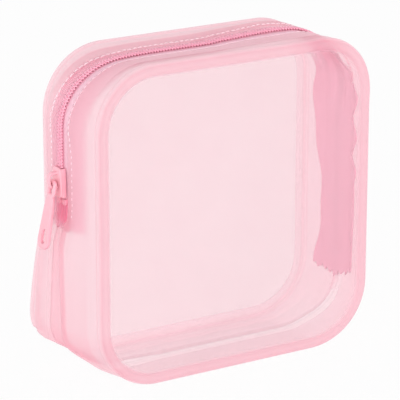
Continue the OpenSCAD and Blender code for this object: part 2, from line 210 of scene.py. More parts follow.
# Rings of points become a closed skin of quads. Each end is closed by a fan to its middle, or straight
# across where the ring is a thin strip there and back. Values after x, y, z ride along as channels.
def skin(rows, loop=False, thin=False):
    rows = rows if rows.ndim == 4 else rows[None]
    count, nu, nv, wide = rows.shape
    i, j = np.meshgrid(np.arange(nu if loop else nu - 1), np.arange(nv), indexing="ij")
    j1, i1 = (j + 1) % nv, (i + 1) % nu
    quads = np.stack([i * nv + j, i1 * nv + j, i1 * nv + j1, i * nv + j1], -1).reshape(-1, 4)
    verts = rows.reshape(count, nu * nv, wide)
    tris = np.zeros((0, 3), int)
    if thin:
        a = np.arange(nv // 2 - 1)
        cap = np.stack([a, a + 1, nv - 2 - a, nv - 1 - a], -1)
        quads = np.concatenate([quads, cap[:, ::-1], (nu - 1) * nv + cap])
    elif not loop:
        verts = np.concatenate([verts, rows[:, :1].mean(2), rows[:, -1:].mean(2)], 1)
        a, b = np.arange(nv), (np.arange(nv) + 1) % nv
        low = np.stack([np.full(nv, nu * nv), a, b], -1)
        high = np.stack([np.full(nv, nu * nv + 1), (nu - 1) * nv + b, (nu - 1) * nv + a], -1)
        tris = np.concatenate([low, high])
    first = verts[0, :, :3] - verts[0, :, :3].mean(0)
    every = np.concatenate([quads[:, [0, 1, 2]], quads[:, [0, 2, 3]], tris])
    a, b, c = (first[every[:, corner]] for corner in range(3))
    if np.einsum("ij,ij->i", a, np.cross(b, c)).sum() < 0:  # inside out
        quads, tris = quads[:, ::-1], tris[:, ::-1]
    step = (np.arange(count) * verts.shape[1])[:, None, None]
    quads, tris = (quads[None] + step).reshape(-1, 4), (tris[None] + step).reshape(-1, 3)
    return verts.reshape(-1, wide), quads, tris


def addObject(name, data):
    obj = bpy.data.objects.new(name, data)
    scene.collection.objects.link(obj)
    return obj


# Skins become one smooth mesh in metres, with an attribute for each named channel.
def makePiece(name, skins, material, channels=()):
    verts, quads, tris, base = [], [], [], 0
    for v, q, t in skins:
        verts.append(v)
        quads.append(q + base)
        tris.append(t + base)
        base += len(v)
    verts = np.concatenate(verts)
    mesh = bpy.data.meshes.new(name)
    faces = np.concatenate(quads).tolist() + np.concatenate(tris).tolist()
    mesh.from_pydata((verts[:, :3] * 0.001).tolist(), [], faces)
    mesh.polygons.foreach_set("use_smooth", np.ones(len(faces), bool))
    for k, channel in enumerate(channels):
        values = mesh.attributes.new(channel, "FLOAT", "POINT")
        values.data.foreach_set("value", verts[:, 3 + k].astype(np.float32))
    if verts.shape[1] > 3 + len(channels):  # two more columns are a map of the piece laid flat
        at = np.zeros(len(mesh.loops), np.int32)
        mesh.loops.foreach_get("vertex_index", at)
        layer = mesh.uv_layers.new(name="lay")
        layer.data.foreach_set("uv", verts[at, -2:].astype(np.float32).ravel())
    mesh.update()
    mesh.materials.append(material)
    print("made", name, len(faces), "faces")
    return addObject(name, mesh)


# A tube: circles of the given radius square to the path, turned by a guide direction.
def tubeRows(path, radius, guide, sides=8, loop=False):
    if loop:
        along = np.roll(path, -1, 0) - np.roll(path, 1, 0)
    else:
        along = np.gradient(path, axis=0)
    along /= np.linalg.norm(along, axis=-1, keepdims=True)
    across = np.cross(along, guide)
    across /= np.linalg.norm(across, axis=-1, keepdims=True)
    up = np.cross(across, along)
    turn = np.linspace(0, 2 * np.pi, sides, endpoint=False)
    radius = np.broadcast_to(radius, len(path))[:, None, None]
    ring = across[:, None] * np.cos(turn)[None, :, None] + up[:, None] * np.sin(turn)[None, :, None]
    return path[:, None] + radius * ring


# Materials


def nodesOf(tree):  # empties a node tree, and gives two functions that fill it
    tree.nodes.clear()

    def add(kind, **values):  # a value is a setting of the node, or else one of its inputs
        made = tree.nodes.new(kind)
        for key, value in values.items():
            if hasattr(made, key):
                setattr(made, key, value)
            else:
                made.inputs[key.replace("_", " ")].default_value = value
        return made

    def wire(*links):  # each link: a node and its output, another node and its input
        for start, output, end, socket in links:
            tree.links.new(start.outputs[output], end.inputs[socket])

    return add, wire


def newMaterial(name):
    material = bpy.data.materials.new(name)
    material.use_nodes = True
    add, wire = nodesOf(material.node_tree)
    return material, add, wire, add("ShaderNodeOutputMaterial")


siliconeLook = {
    "pale": (1.0, 0.805, 0.855, 1),  # what the frosted face scatters where it is thin
    "deep": (1.0, 0.65, 0.725, 1),  # the same where it is thick
    "shade": (0.94, 0.55, 0.635, 1),  # painted shade, along the rims and on the top wall
    "through": 0.6,  # share of that which goes on through the face
    "body": (0.99, 0.30, 0.42, 1),  # what the thickness lets through
    "density": 25.0,  # per metre
    "roughness": 0.42,
    "mottle": 0.02,  # how much its milkiness varies from place to place
}


def siliconeMaterial():
    material, add, wire, out = newMaterial("frostedSilicone")
    look = siliconeLook
    coords = add("ShaderNodeTexCoord")
    cloud = add("ShaderNodeTexNoise", Scale=60.0, Detail=4.0)
    grain = add("ShaderNodeTexNoise", Scale=2200.0, Detail=2.0)
    bump = add("ShaderNodeBump", Strength=0.06, Distance=0.0002)
    face = add("ShaderNodeBsdfPrincipled", Roughness=look["roughness"])
    through = add("ShaderNodeBsdfTranslucent")
    clear = add("ShaderNodeBsdfTransparent")
    veil = add("ShaderNodeMixShader", Fac=look["through"])
    mix = add("ShaderNodeMixShader")
    milk = add("ShaderNodeAttribute", attribute_name="milk")
    tint = add("ShaderNodeAttribute", attribute_name="tint")
    # the tint ramp runs from thin to thick silicone, and its last stop is painted shade
    tone = add("ShaderNodeValToRGB")
    for at, colour in ((0.0, look["pale"]), (0.7, look["deep"]), (1.0, look["shade"])):
        stops = tone.color_ramp.elements
        stop = stops.new(at) if 0 < at < 1 else stops[-1 if at else 0]
        stop.color = colour
    mottle = add("ShaderNodeMapRange", To_Min=-look["mottle"], To_Max=look["mottle"])
    total = add("ShaderNodeMath", operation="ADD")
    body = add("ShaderNodeVolumeAbsorption", Color=look["body"], Density=look["density"])
    wire((coords, "Object", cloud, "Vector"), (coords, "Object", grain, "Vector"))
    wire((grain, 0, bump, "Height"), (bump, 0, face, "Normal"))
    wire((cloud, 0, mottle, "Value"), (mottle, 0, total, 1), (milk, "Fac", total, 0))
    wire((tint, "Fac", tone, 0), (tone, 0, face, "Base Color"), (tone, 0, through, "Color"))
    wire((face, 0, veil, 1), (through, 0, veil, 2))
    wire((total, 0, mix, 0), (clear, 0, mix, 1), (veil, 0, mix, 2))
    wire((mix, 0, out, "Surface"), (body, 0, out, "Volume"))
    return material


tapeLook = {
    "thread": (1.0, 0.74, 0.835, 1),  # the raised threads
    "gap": (1.0, 0.64, 0.75, 1),  # and the gaps between them
    "glow": (1.0, 0.74, 0.82, 1),  # what shines through the cloth
    "through": 0.2,  # share of the light that does
    "deep": (0.98, 0.32, 0.46, 1),  # painted shade: the darker pink put where the tape lies in shade
    "pitch": 0.55,  # from one woven rib to the next
    "slant": 35.0,  # of the second wave, in degrees
}


# Twill: two waves of the tape's own length and width in mm, one across and one slanting.
def tapeMaterial():
    material, add, wire, out = newMaterial("wovenTape")
    lay = add("ShaderNodeUVMap", uv_map="lay")
    size = add("ShaderNodeMapping", Scale=(1 / tapeLook["pitch"], 1 / tapeLook["pitch"], 1))
    slant = add("ShaderNodeMapping", Rotation=(0, 0, np.radians(tapeLook["slant"])))
    ribs = add("ShaderNodeTexWave", wave_type="BANDS", Scale=0.33, Distortion=0.6, Detail_Scale=2.0)
    warp = add("ShaderNodeTexWave", wave_type="BANDS", Scale=0.33, Distortion=0.4)
    both = add("ShaderNodeMath", operation="MULTIPLY")
    tone = add("ShaderNodeMix", data_type="RGBA")
    tone.inputs[6].default_value = tapeLook["gap"]
    tone.inputs[7].default_value = tapeLook["thread"]
    lift = add("ShaderNodeMapRange", From_Max=0.5, To_Min=0.35)
    bump = add("ShaderNodeBump", Strength=0.45, Distance=0.0002)
    cloth = add("ShaderNodeBsdfPrincipled", Roughness=0.82, Sheen_Weight=0.25, Sheen_Roughness=0.4)
    wire((lay, 0, size, "Vector"), (size, 0, ribs, "Vector"), (ribs, 1, both, 0))
    wire((size, 0, slant, "Vector"), (slant, 0, warp, "Vector"), (warp, 1, both, 1))
    wire((both, 0, lift, "Value"), (lift, 0, tone, 0))
    # painted shade: the 'deep' attribute mixes in a darker pink where the tape lies in shade
    paintedShade = add("ShaderNodeAttribute", attribute_name="deep")
    shadeMix = add("ShaderNodeMix", data_type="RGBA")
    shadeMix.inputs[7].default_value = tapeLook["deep"]
    wire((paintedShade, "Fac", shadeMix, 0), (tone, 2, shadeMix, 6), (shadeMix, 2, cloth, "Base Color"))
    wire((both, 0, bump, "Height"), (bump, 0, cloth, "Normal"))
    glow = add("ShaderNodeBsdfTranslucent", Color=tapeLook["glow"])
    thin = add("ShaderNodeMixShader", Fac=tapeLook["through"])
    wire((cloth, 0, thin, 1), (glow, 0, thin, 2))
    sheer = add("ShaderNodeAttribute", attribute_name="sheer")
    clear = add("ShaderNodeBsdfTransparent")
    fade = add("ShaderNodeMixShader")
    wire((sheer, "Fac", fade, 0), (thin, 0, fade, 1), (clear, 0, fade, 2))
    wire((fade, 0, out, "Surface"))
    return material


# dark and light tone, roughness, fineness and strength of the grain, lacquer and sheen
finishes = {
    "nylonCoil": ((0.98, 0.42, 0.56, 1), (1.0, 0.51, 0.64, 1), 0.36, 1500.0, 0.05, 0.0, 0.0),
    # the cord's tones are lighter than the coil's: painted light in the gaps between the coil's turns
    "fillerCord": ((0.97, 0.55, 0.66, 1), (1.0, 0.63, 0.73, 1), 0.85, 2500.0, 0.4, 0.0, 0.0),
    "sewingThread": ((0.96, 0.70, 0.77, 1), (1.0, 0.79, 0.84, 1), 0.7, 3000.0, 0.35, 0.0, 0.2),
    "mouldedStop": ((0.90, 0.36, 0.46, 1), (0.96, 0.44, 0.54, 1), 0.45, 900.0, 0.12, 0.0, 0.0),
    "pinkPaint": ((0.95, 0.46, 0.54, 1), (0.98, 0.52, 0.60, 1), 0.34, 700.0, 0.08, 0.15, 0.0),
}


# Plain finishes: a base colour broken up by cloudy noise, and a fine bump.
def plainMaterial(name):
    dark, light, roughness, grainScale, bumpStrength, coat, sheen = finishes[name]
    material, add, wire, out = newMaterial(name)
    coords = add("ShaderNodeTexCoord")
    cloud = add("ShaderNodeTexNoise", Scale=180.0, Detail=3.0)
    grain = add("ShaderNodeTexNoise", Scale=grainScale, Detail=3.0)
    tone = add("ShaderNodeMix", data_type="RGBA")
    tone.inputs[6].default_value = dark
    tone.inputs[7].default_value = light
    bump = add("ShaderNodeBump", Strength=bumpStrength, Distance=0.0001)
    face = add("ShaderNodeBsdfPrincipled", Roughness=roughness, Coat_Weight=coat, Sheen_Weight=sheen)
    wire((coords, "Object", cloud, "Vector"), (coords, "Object", grain, "Vector"))
    wire((cloud, 0, tone, 0), (tone, 2, face, "Base Color"))
    wire((grain, 0, bump, "Height"), (bump, 0, face, "Normal"), (face, 0, out, "Surface"))
    return material


silicone = siliconeMaterial()
wovenTape = tapeMaterial()
nylon = plainMaterial("nylonCoil")
cordCotton = plainMaterial("fillerCord")
sewingThread = plainMaterial("sewingThread")
mouldedStop = plainMaterial("mouldedStop")
pinkPaint = plainMaterial("pinkPaint")
print("materials made")


# Silicone trays

tray = {
    "slotHalf": 5.2,  # half the opening that the zip shows through
    "slotLeft": 63.6,  # where that opening ends on the left
    "slotRight": 27.5,  # and on the right
    "grooveHalf": 2.8,  # half the groove below it
    "grooveMore": 1.2,  # how much wider the groove gets at the lower left
    "grooveFoot": 1.3,  # and how much narrower it is along the foot and on the right
    "lip": 1.1,  # radius of the rolled edge along the groove
    "slotLip": 0.75,  # the same along the slot, where the wall thins out to its edge
    "slotDip": 2.4,  # over how far it does
    # the outside from panel to wall: outwards from the rim's edge, inwards from the panel's plane,
    # milkiness (0 clear to 1) and tint (0 pale to 1 deep). The pale tints at the rim's edges are painted
    # highlights, and the deepest tints on its face are painted shade
    "rim": [
        (-6.2, 0.9, 0.2, 0.7), (-5.5, 0.9, 0.25, 0.6), (-5.05, 0.86, 0.36, 0.5), (-4.75, 0.7, 0.46, 0.75),
        (-4.5, 0.45, 0.54, 1.0), (-4.1, 0.2, 0.6, 1.0), (-3.5, 0.06, 0.6, 0.95), (-2.6, 0.0, 0.6, 0.85),
        (-1.7, 0.04, 0.6, 0.95), (-1.0, 0.2, 0.64, 1.0), (-0.5, 0.5, 0.66, 0.5), (-0.15, 0.95, 0.66, 0.05),
        (0.0, 1.5, 0.64, 0.0), (-0.02, 2.0, 0.63, 0.05), (-0.2, 2.5, 0.62, 0.2), (-0.45, 2.95, 0.6, 0.7),
        (-0.62, 3.4, 0.58, 0.4), (-0.66, 4.0, 0.56, 0.0), (-0.5, 4.8, 0.55, 0.0), (-0.2, 5.8, 0.55, 0.05),
        (0.0, 7.0, 0.55, 0.1),
    ],
    # the inside from wall to panel
    "inside": [
        (-2.2, 7.0, 0.2, 0.1), (-2.25, 5.5, 0.2, 0.1), (-2.4, 4.3, 0.2, 0.15), (-2.8, 3.4, 0.17, 0.3),
        (-3.6, 2.8, 0.14, 0.4), (-4.6, 2.45, 0.1, 0.6), (-5.6, 2.4, 0.08, 0.75),
    ],
    "panelEdge": (-5.8, 2.4),  # where the panel's inside starts, counted in the same way
    "wallRows": 14,
    "panel": (0.2, 0.7),  # milkiness and tint of the panels outside
    "panelInside": (0.08, 0.7),
    "wall": (0.55, 0.1),  # the same of the walls
    "wallInside": (0.15, 0.0),
    "topShade": (-0.05, 0.9),  # painted shade on the top wall: how much deeper its tint is in front and behind
    "topMilk": (0.22, 0.0),  # and how much milkier it is
    "lowShade": 0.5,  # painted shade: how much deeper the left wall's tint is towards the foot
    "footClear": 0.15,  # how much clearer the foot is
    "edge": (0.45, 0.1),  # the same of the rolled edges and the web
    "creaseShade": 0.6,  # painted shade in the crease: how much deeper their tint is on the left
    "edgeFoot": 0.34,  # how much clearer they are along the foot
    "backHaze": 0.4,  # the back rim's milkiness and tint as a share of the front one's
    "panelShares": [0.12, 0.25, 0.4, 0.55, 0.7, 0.82, 0.91, 0.97],  # panel rows, from the middle
}


def onFoot(stations):  # 0 on the left wall, 1 on the foot and the right
    x = stations[:, 0] * (pouch["halfWide"] - pouch["corner"]) + pouch["corner"] * stations[:, 2]
    return ease((x + 58) / 22)


# How far each station's edge stays from the seam: the groove's half width, or that of the slot
# where the zip runs, whose end is a circle.
def edgeFrom(ring):
    z = pouch["corner"] + ring[:, 1] * zipRun["leg"] + pouch["corner"] * ring[:, 3]
    x = ring[:, 0] * pouch["halfWide"]
    end = np.where(x < 0, tray["slotLeft"], tray["slotRight"])
    below = np.clip(end + tray["slotHalf"] - z, 0, tray["slotHalf"])
    slot = np.where(z > end, np.sqrt(tray["slotHalf"] ** 2 - below ** 2), 0)
    groove = tray["grooveHalf"] + tray["grooveMore"] * ease((60 - z) / 40) * ease((-30 - x) / 25)
    groove = groove - tray["grooveFoot"] * onFoot(ring)
    return np.maximum(groove, slot)


def lipRadius(edge):  # full along the groove, thin along the slot
    return tray["lip"] - (tray["lip"] - tray["slotLip"]) * ease((edge - 3.5) / 2)


def faceBesideSlot(d, edge):  # the wall's outer face dips towards its thin edge
    lip = lipRadius(edge)
    return -2 * (tray["lip"] - lip) * ease((edge + lip + tray["slotDip"] - d) / tray["slotDip"])


def tintedEdge(stations):  # milkiness and tint of the rolled edges, with painted shade deepening them on the left below the zip, in the crease
    left = (1 - onFoot(stations)) * ease((0.55 - stations[:, 1]) / 0.1)
    milk = tray["edge"][0] - tray["edgeFoot"] * ease((-stations[:, 3] - 0.1) / 0.6) * onFoot(stations)
    return np.stack([milk, tray["edge"][1] + tray["creaseShade"] * left], -1)


def wallLook(look, stations, side):  # painted shade deepens the tint on the top and the lower left; the foot is clearer
    up, down = ease((stations[:, 3] - 0.4) / 0.5), ease((-stations[:, 3] - 0.5) / 0.5)
    z = pouch["corner"] * (1 + stations[:, 3]) + zipRun["leg"] * stations[:, 1]
    # painted shade: the left wall grows darker towards the foot
    low = ease((70 - z) / 60) * ease(-stations[:, 2])
    tint = look[1] * (1 - down) + tray["topShade"][side > 0] * up + tray["lowShade"] * low
    return np.stack([look[0] + tray["topMilk"][side > 0] * up - tray["footClear"] * down, tint], -1)


# A tray: at every station the section runs from the panel's middle over the rim and wall to the
# rolled edge at the seam, and back along the inside. Panel rows shrink towards the middle.
def makeTray(name, side, cadNode, body):
    ring = ringStations()
    deep = pouch["frontDeep"] if side < 0 else pouch["backDeep"]
    edge = edgeFrom(ring)
    rows = []

    def addRow(n, d, look, share=1.0):
        p = onWall(ring, side * d, n)
        if share < 1:
            middle = np.array([0, pouch["seamAt"] + side * d[0], pouch["high"] / 2])
            p = middle + share * (p - middle)
        rows.append(np.concatenate([p, np.broadcast_to(look, (len(ring), 2))], -1))

    ones = np.ones(len(ring))
    n, inwards = tray["rim"][0][:2]
    for share in tray["panelShares"]:
        addRow(n, (deep - inwards) * ones, tray["panel"], share)
    for n, inwards, milk, tint in tray["rim"]:
        if side > 0 and n < -0.6 and inwards < 2:  # the face of the back rim
            milk, tint = (p + tray["backHaze"] * (v - p) for p, v in zip(tray["panel"], (milk, tint)))
        addRow(n, (deep - inwards) * ones, (milk, tint))
    lip = lipRadius(edge)
    wall = 2 * tray["lip"]
    start = deep - tray["rim"][-1][1]
    for t in np.linspace(0.12, 1, tray["wallRows"]):
        d = start * (1 - t) + (edge + lip) * t
        addRow(faceBesideSlot(d, edge), d, wallLook(tray["wall"], ring, side))
    for turn in np.radians(np.linspace(65, -65, 6)):
        addRow(-wall + lip + lip * np.sin(turn), edge + lip - lip * np.cos(turn), tintedEdge(ring))
    for t in np.linspace(1, 0.12, tray["wallRows"]):
        addRow(-wall, start * (1 - t) + (edge + lip) * t, tray["wallInside"])
    for n, inwards, milk, tint in tray["inside"]:
        addRow(n, (deep - inwards) * ones, (milk, tint))
    n, inwards = tray["panelEdge"]
    for share in tray["panelShares"][::-1]:
        addRow(n, (deep - inwards) * ones, tray["panelInside"], share)
    obj = makePiece(name, [skin(np.array(rows))], silicone, ["milk", "tint"])
    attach(obj, body)
    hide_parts(cadNode)


makeTray("frontTray", -1, "front_shell", "front_half")
makeTray("backTray", 1, "back_shell", "back_half")


# Folded web

web = {
    "leftTop": 62.4,  # height of its left end
    "rightTop": 26.8,  # and of its right end
    "thick": 0.9,
    "inside": 0.5,  # how far its edges stay inside the rolled ones
    "at": -1.35,  # where they are, counted outwards from the wall
    "deep": 2.3,  # how far the fold dips below its edges
    "footDeep": 0.6,  # the same along the foot and on the right
    "more": (0.03, 0.0),  # how much milkier and deeper in tint it is there than the edges
}


# The web's section is a sine-shaped fold between the two rolled edges, thickened along its normal.
def makeWeb():
    leg = zipRun["leg"]
    start, stop = (web["leftTop"] - pouch["corner"]) / leg, (web["rightTop"] - pouch["corner"]) / leg
    steps = np.linspace
    path = stationsOf([
        (-1.0, steps(start, 0, 36, endpoint=False), 180.0),
        (-1.0, 0.0, steps(180, 270, 26, endpoint=False)),
        (steps(-1, 1, 30, endpoint=False), 0.0, 270.0),
        (1.0, 0.0, steps(270, 360, 26, endpoint=False)),
        (1.0, steps(0, stop, 3), 360.0),
    ])
    half = edgeFrom(path)[:, None]
    turn = np.radians(np.linspace(-90, 90, 17))[None]
    y = (half - web["inside"]) * np.sin(turn)
    dip = web["deep"] + (web["footDeep"] - web["deep"]) * onFoot(path)[:, None]
    n = web["at"] - dip * np.cos(turn)
    dy, dn = np.gradient(y, axis=1), np.gradient(n, axis=1)
    length = np.hypot(dy, dn)
    offY, offN = -dn / length * web["thick"] / 2, dy / length * web["thick"] / 2
    y = np.concatenate([y + offY, (y - offY)[:, ::-1]], 1)
    n = np.concatenate([n + offN, (n - offN)[:, ::-1]], 1)
    rows = onWall(path[:, None], y, n)
    look = tintedEdge(path) + onFoot(path)[:, None] * web["more"]
    grid = np.concatenate([rows, np.broadcast_to(look[:, None], rows.shape[:2] + (2,))], -1)
    obj = makePiece("foldedWeb", [skin(grid, thin=True)], silicone, ["milk", "tint"])
    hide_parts("hinge_web")
    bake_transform(obj)


makeWeb()


# Zip tapes

tape = {
    "gap": 0.0,  # half the gap between the tapes
    "thick": 0.6,
    "face": -2.35,  # outer face, counted outwards from the wall
    "leftEnd": 61.8,  # height of its left end
    "rightEnd": 21.5,  # and of its right end
    "wide": 12.6,
    "leftMore": 2.4,  # how much wider the front tape is on the left leg
    "topLess": 4.6,  # and how much narrower along the top
    "coilShade": 0.35,  # painted shade: how much darker it is beside the coils
    "backSlotShade": 0.28,  # painted shade: and on the back tape in all of the slot
    "scallop": 9.2,  # how deep the front tape's edge puckers on the right
    "scallopPitch": 15.3,
    "scallopAt": 76.3,  # height of one of its inner cusps
    "taper": 2.5,  # how far it draws in further down
    "frontIn": 3.0,  # how much narrower the front tape is on the right before it puckers
    "backIn": 1.3,  # how much narrower the back tape is there
    "sway": 1.5,  # and how far its edge sways
    "postTop": 96.0,  # up to here the tapes leave room for the slider's post
    "postRoom": 0.5,
    "stopTop": 79.2,  # between these heights they leave room for the stops
    "stopFoot": 75.2,
    "stopRoom": 1.4,
    "curl": 0.9,  # how far the edge under the wall curls in
    "rise": 0.95,  # how far the middle of the zip bulges out through the slot
    "more": 0.5,  # and how much more it does away from the slider
    # heights below which something starts, and over how far it grows
    "paintedShade": (77, 4),  # painted shade at the slot's end on the left
    "uneven": (68, 6),  # the wavy end on the left
    "calm": (104, 14),  # no bulge on the right
    "straight": (70, 9),  # no more pucker
    "tapered": (56, 30),
    "ragged": (34, 14),  # the cut end on the right
}


def riseOf(s, y):  # the bulge: full at the coils, none under the stitches, on the right leg none
    away = ease((s - leftRun(102)) / 12)
    flat = 1 - downRight(s, tape["calm"])
    return flat * (tape["rise"] + tape["more"] * away) * (1 - ease((y - 2.5) / (1.2 + 2 * away)))


def onRightLeg(s):  # 0 before the upper right bend, 1 below it
    return ease((s - rightStart + 16) / 14)


# The width along the zip: on the right leg the front tape's free edge puckers by |sin| and then runs
# straight, and the back tape's sways by a cosine. In front it is wider on the left, narrower on top.
def tapeWidth(s, side):
    onRight = onRightLeg(s)
    if side < 0:
        waves = np.abs(np.sin(np.pi * (s - rightRun(tape["scallopAt"])) / tape["scallopPitch"]))
        pucker = tape["scallop"] * (waves + downRight(s, tape["straight"]) * (0.8 - waves))
        shape = -tape["frontIn"] + pucker - tape["taper"] * downRight(s, tape["tapered"])
    else:
        sway = tape["sway"] * np.cos((s - rightStart - 8) / 13.5)
        shape = -tape["backIn"] + sway + 0.3 * np.sin(s / 3.7)
    wide = tape["wide"] + onRight * shape + 0.12 * np.sin(s * 2.4) * (1 - onRight)
    if side < 0:
        onLeft = 1 - ease((s - zipRun["leg"] - zipRun["bend"] + 12) / 25)
        wide = wide + tape["leftMore"] * onLeft - tape["topLess"] * (1 - onLeft) * (1 - onRight)
    return wide


# A tape is a thin strip carried along the zip. Its right end is cut ragged by two waves across the
# width, and its left end is uneven by one.
def makeTape(name, side, cadNode, body):
    s = np.linspace(leftRun(tape["leftEnd"]), rightRun(tape["rightEnd"]), 420)
    s = np.concatenate([s[:1], s[:1] + 0.03, s[1:-1], s[-1:] - 0.03, s[-1:]])
    across = np.concatenate([[0, 0.003], np.linspace(0.02, 0.98, 18), [0.997, 1]])
    offRight = (1 - onRightLeg(s))[:, None]
    wide = tapeWidth(s, side)
    # cut back where the slider's post travels, and more at the stops
    near = np.where(s < leftRun(tape["postTop"]), tape["postRoom"], tape["gap"])
    atStop = (s < leftRun(tape["stopTop"])) & (s > leftRun(tape["stopFoot"]))
    near = np.where(atStop, tape["stopRoom"], near)[:, None]
    y = near + (wide[:, None] - near) * across[None]
    ragged = 0.9 * np.sin(y * 1.9 + side) + 0.6 * np.sin(y * 4.3) - (0.4 if side < 0 else 0.1) * y
    uneven = 0.6 * downLeft(s, tape["uneven"])[:, None] * np.sin(y * 1.3)
    slope = downRight(s, tape["ragged"])[:, None] * ragged + uneven
    n = tape["face"] - tape["curl"] * ease((y - 11.5) / 3) * offRight + riseOf(s[:, None], y)
    run = s[:, None] + slope
    # there and back: the outer face, then the inner one
    y2 = np.concatenate([y, y[:, ::-1]], 1)
    n2 = np.concatenate([n, n[:, ::-1] - tape["thick"]], 1)
    run2 = np.concatenate([run, run[:, ::-1]], 1)
    rows = onWall(zipStations(run2), side * y2, n2)
    # painted shade: darker where it is gathered at the end of the slot, beside the coils, and on the back
    # tape in all of the slot
    deep = downLeft(run2, tape["paintedShade"]) * ease((7.5 - y2) / 4) * ease((run2 - s[0] + 1) / 6)
    deep = np.maximum(deep, tape["coilShade"] * ease((3.4 - y2) / 1.2) * offRight)
    if side > 0:
        deep = np.maximum(deep, tape["backSlotShade"] * ease((6.8 - y2) / 2) * offRight)
    # the edge under the wall thins out, but on the right leg it stays crisp
    edge = wide[:, None] - y2
    solid = np.minimum(ease((edge + 0.3) / 4.5), ease((run2 - s[0] + 0.5) / 4))
    sheer = (1 - solid) * offRight * ease((y2 - 4) / 3)
    grid = np.concatenate([rows] + [v[..., None] for v in (deep, sheer, run2, y2)], -1)
    obj = makePiece(name, [skin(grid, thin=True)], wovenTape, ["deep", "sheer"])
    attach(obj, body)
    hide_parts(cadNode)


makeTape("frontTape", -1, "front_tape", "front_half")
makeTape("backTape", 1, "back_tape", "back_half")


# Coils and their cords

coil = {
    "pitch": 1.3,
    "wire": 0.3,  # radius of the nylon
    "heel": 2.15,  # how far a turn reaches from the middle of the chain
    "head": 0.4,  # how far its head reaches past the middle
    "high": 1.2,
    "swell": 0.16,  # how much thicker the nylon is at its heads
    "cord": 0.26,  # radius of the filler cord
    "leftEnd": 79.8,  # height of its left end
    "rightEnd": 37.4,  # and of its right end
    "steps": 9,  # points in one turn
}


# A coil is a flattened helix: an ellipse in height and width while it advances one pitch a turn,
# with the nylon swollen where the heads interlock.
def makeCoil(name, side, lag, cadNode, body):
    length = rightRun(coil["rightEnd"]) - leftRun(coil["leftEnd"])
    turns = int(length / coil["pitch"]) - 1
    t = np.arange(turns * coil["steps"]) / coil["steps"]
    turn = 2 * np.pi * t
    s = leftRun(coil["leftEnd"]) + (t + lag) * coil["pitch"]
    thick = coil["wire"]
    half = (coil["heel"] + coil["head"]) / 2 - thick
    middle = (coil["heel"] - coil["head"]) / 2
    y = middle - half * np.cos(turn)
    n = tape["face"] + coil["high"] / 2 + (coil["high"] / 2 - thick) * np.sin(turn) + riseOf(s, 0.0)
    path = onWall(zipStations(s), side * y, n)
    ahead = onWall(zipStations(s + 0.5), side * y, n) - path
    radius = thick * (1 + coil["swell"] * ease((np.cos(turn) - 0.2) / 0.8))
    obj = makePiece(name, [skin(tubeRows(path, radius, ahead, sides=6))], nylon)
    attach(obj, body)
    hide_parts(cadNode)


# The filler cord is a round tube through the middle of its coil.
def makeCoilCord(name, side, cadNode, body):
    s = np.linspace(leftRun(coil["leftEnd"]), rightRun(coil["rightEnd"]), 300)
    y = np.full(len(s), (coil["heel"] - coil["head"]) / 2)
    n = tape["face"] + coil["high"] / 2 + riseOf(s, 0.0)
    path = onWall(zipStations(s), side * y, n)
    guide = np.broadcast_to(np.array([0.0, 1.0, 0.0]), path.shape)
    obj = makePiece(name, [skin(tubeRows(path, coil["cord"], guide, sides=8))], cordCotton)
    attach(obj, body)
    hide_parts(cadNode)


makeCoil("frontCoil", -1, 0.5, "front_coil", "front_half")
makeCoil("backCoil", 1, 0.0, "back_coil", "back_half")
makeCoilCord("frontCoilCord", -1, "front_coil_cord", "front_half")
makeCoilCord("backCoilCord", 1, "back_coil_cord", "back_half")


# Stitches

stitch = {
    "row": 7.2,  # from the middle of the chain
    "leftFront": 10.0,  # the same on the left leg in front
    "leftBack": 6.6,  # and behind
    "leftSink": 0.29,  # how much deeper the thread sinks in there
    "left": (112, 20),  # height below which these three apply, and over how far they grow
    "pitch": 2.4,
    "long": 2.05,
    "thread": 0.22,  # radius
    "bow": 0.2,  # how far the middle stands above the ends
    "sunk": 0.04,  # how far the ends sink in
    "leftEnd": 68.5,  # height of the row's left end
    "rightEnd": 33.0,  # and of its right end
}


# Each stitch is a short tube on the silicone, sunk at both ends: its height follows a half sine.
def makeStitches(name, side, cadNode, body):
    s0, s1 = leftRun(stitch["leftEnd"]), rightRun(stitch["rightEnd"])
    count = int((s1 - s0) / stitch["pitch"])
    middle = s0 + (np.arange(count) + 0.5) * stitch["pitch"]
    t = np.linspace(-1, 1, 7)
    s = middle[:, None] + t[None] * stitch["long"] / 2
    turn = np.linspace(0, 2 * np.pi, 6, endpoint=False)
    radius = stitch["thread"] * np.sqrt(np.clip(1.12 - t ** 2 * 0.95, 0.05, 1))
    wander = 0.12 * np.sin(middle * 1.7)
    onLeft = downLeft(middle, stitch["left"])
    leftRow = stitch["leftFront"] if side < 0 else stitch["leftBack"]
    row = stitch["row"] + (leftRow - stitch["row"]) * onLeft + wander
    y = row[:, None, None] + radius[None, :, None] * np.cos(turn)[None, None]
    bow = stitch["bow"] * np.cos(np.pi / 2 * t)[None]
    lift = bow - stitch["sunk"] - stitch["leftSink"] * onLeft[:, None]
    face = faceBesideSlot(y, np.array(tray["slotHalf"]))
    n = face + lift[..., None] + radius[None, :, None] * np.sin(turn)
    rows = onWall(zipStations(s)[:, :, None], side * y, n)
    obj = makePiece(name, [skin(rows)], sewingThread)
    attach(obj, body)
    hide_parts(cadNode)


makeStitches("frontStitches", -1, "front_seam_thread", "front_half")
makeStitches("backStitches", 1, "back_seam_thread", "back_half")


# Hard pieces of the zip

